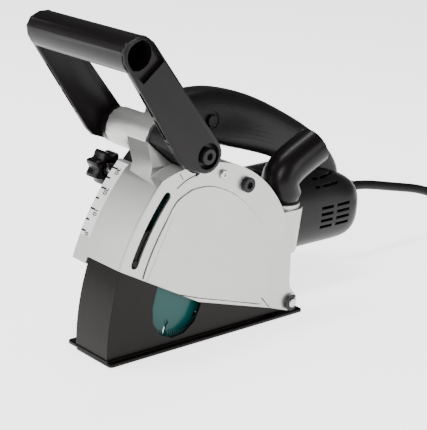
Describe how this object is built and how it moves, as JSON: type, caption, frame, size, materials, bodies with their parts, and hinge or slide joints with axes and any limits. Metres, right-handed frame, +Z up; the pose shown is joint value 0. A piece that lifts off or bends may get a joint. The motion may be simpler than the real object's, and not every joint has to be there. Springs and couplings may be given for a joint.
{
  "type": "wall chaser",
  "caption": "Hand-held groove cutter with two parallel diamond discs in a plunging metal case over a pivoting sole, offset motor, arched rear handle, swivelling front handle and dust elbow",
  "frame": {"origin": "on the underside of the sole, straight below the pin that the base swings on, in the middle of the groove", "axes": "-X forward in the cutting direction, -Y the side of the blade cover, +Y the motor side, +Z up"},
  "size_m": [0.6438, 0.2054, 0.2538],
  "materials": {
    "cast_silver": "satin cast",
    "black_paint": "satin",
    "steel": "machined",
    "dark_steel": "blackened",
    "copper": "machined",
    "carbon": "matt carbon",
    "housing_grey": "moulded satin",
    "gear_case": "dark cast",
    "black_plastic": "moulded",
    "rubber": "matt",
    "blade_teal": "glossy lacquer",
    "scale_white": "printed"
  },
  "bodies": {
    "base": {"base_sole": "black_paint", "base_guard": "black_paint", "base_pivot_pin": "steel", "pivot_clip": "dark_steel", "pivot_spring": "dark_steel"},
    "tool": {"case_body": "cast_silver", "case_cover": "cast_silver", "cover_bolt": "dark_steel", "cover_screw": "steel", "scale_plate": "scale_white", "gear_housing": "gear_case", "bearing_box": "cast_silver", "spindle_bearing": "steel", "needle_bearing": "steel", "motor_housing": "housing_grey", "field_stator": "dark_steel", "front_bearing": "steel", "bearing_retainer": "cast_silver", "rear_bearing": "steel", "carbon_brush_near": "carbon", "carbon_brush_far": "carbon", "brush_cap_near": "black_plastic", "brush_cap_far": "black_plastic", "handle_shell_near": "housing_grey", "handle_shell_far": "housing_grey", "switch_body": "black_plastic", "cord_guard": "rubber", "power_cord": "rubber", "cord_coil": "rubber", "cord_plug": "rubber"},
    "depth_stop": {"stop_block": "steel", "stop_stud": "steel", "stop_washer": "steel", "stop_pointer": "black_plastic", "stop_sleeve": "steel"},
    "depth_stop_knob": {"depth_knob": "black_plastic"},
    "spindle": {"spindle": "steel", "inner_flange": "steel", "spacer_near": "steel", "spacer_mid": "steel", "spacer_far": "steel", "outer_flange": "steel", "lock_nut": "dark_steel", "blade_near": "blade_teal", "blade_far": "blade_teal", "bevel_gear": "steel"},
    "armature": {"armature_shaft": "steel", "armature_core": "dark_steel", "commutator": "copper", "cooling_fan": "black_plastic", "bevel_pinion": "steel"},
    "shaft_lock": {"shaft_lock_button": "black_plastic"},
    "trigger": {"switch_trigger": "black_plastic"},
    "lock_on": {"lock_on_button": "black_plastic"},
    "front_handle": {"front_handle": "black_plastic", "collar_near": "housing_grey", "collar_far": "black_plastic", "handle_bolt": "dark_steel", "handle_nut": "steel"},
    "dust_nozzle": {"dust_nozzle": "black_plastic"}
  },
  "joints": [
    {"name": "plunge", "type": "hinge", "parent": "base", "child": "tool", "pos_m": [0, 0, 0.0115], "axis": [0, -1, 0], "range_deg": [0, 15.9], "stiffness_Nm_per_rad": 20, "springref_deg": -14.32},
    {"name": "depth_stop_slide", "type": "hinge", "parent": "tool", "child": "depth_stop", "pos_m": [0, 0, 0.0115], "axis": [0, -1, 0], "range_deg": [0, 15]},
    {"name": "depth_knob_turn", "type": "hinge", "parent": "depth_stop", "child": "depth_stop_knob", "pos_m": [-0.14207, 0.055, 0.13156], "axis": [0, 1, 0], "continuous": true},
    {"name": "spindle_spin", "type": "hinge", "parent": "tool", "child": "spindle", "pos_m": [-0.1146, 0, 0.065], "axis": [0, 1, 0], "continuous": true},
    {"name": "armature_spin", "type": "hinge", "parent": "tool", "child": "armature", "pos_m": [0, 0.06, 0.065], "axis": [1, 0, 0], "continuous": true},
    {"name": "shaft_lock_press", "type": "slide", "parent": "tool", "child": "shaft_lock", "axis": [0, -1, 0], "range_m": [0, 0.003], "stiffness_N_per_m": 500, "springref_m": -0.002},
    {"name": "trigger_pull", "type": "hinge", "parent": "tool", "child": "trigger", "pos_m": [-0.077, 0.06, 0.148], "axis": [0, -1, 0], "range_deg": [0, 6], "stiffness_Nm_per_rad": 0.5, "springref_deg": -17.19},
    {"name": "lock_on_press", "type": "slide", "parent": "tool", "child": "lock_on", "axis": [0, 1, 0], "range_m": [0, 0.002], "stiffness_N_per_m": 400, "springref_m": -0.002},
    {"name": "front_handle_swivel", "type": "hinge", "parent": "tool", "child": "front_handle", "pos_m": [-0.112, 0, 0.1575], "axis": [0, 1, 0], "range_deg": [-45, 60]},
    {"name": "dust_nozzle_swivel", "type": "hinge", "parent": "tool", "child": "dust_nozzle", "pos_m": [0.001, -0.002, 0.0963], "axis": [0, 0, 1], "range_deg": [-60, 15]}
  ],
  "couplings": [
    {"joint": "armature_spin", "follows": "spindle_spin", "ratio": 3.4444}
  ]
}
